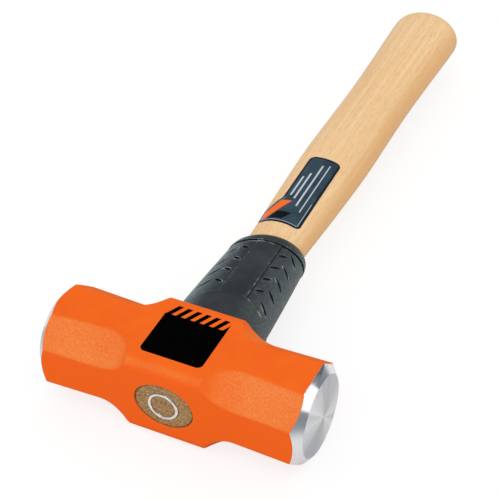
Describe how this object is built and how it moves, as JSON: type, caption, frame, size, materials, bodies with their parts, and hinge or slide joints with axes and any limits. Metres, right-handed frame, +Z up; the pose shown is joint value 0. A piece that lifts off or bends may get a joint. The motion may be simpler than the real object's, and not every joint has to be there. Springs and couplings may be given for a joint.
{
  "type": "sledgehammer",
  "caption": "Short-handled forged sledgehammer: octagonal double-faced steel head on an oval hardwood handle, with a moulded rubber shock collar and a ring wedge in the eye.",
  "frame": {"origin": "on the lower cheek of the head, straight under the head's middle", "axes": "+X along the head from one striking face to the other, +Y along the handle towards its butt, +Z up through the cheeks"},
  "size_m": [0.1238, 0.3073, 0.0412],
  "materials": {
    "painted_steel": "orange enamel over forged steel, ground bare at the striking faces and their bevels",
    "hickory": "clear-lacquered straight-grained hardwood",
    "wedge_steel": "bright turned steel",
    "collar_rubber": "satin moulded rubber",
    "label_film": "printed film"
  },
  "bodies": {
    "root": {"head": "painted_steel", "handle": "hickory", "ring_wedge": "wedge_steel", "shock_collar": "collar_rubber", "handle_label": "label_film"}
  },
  "joints": []
}
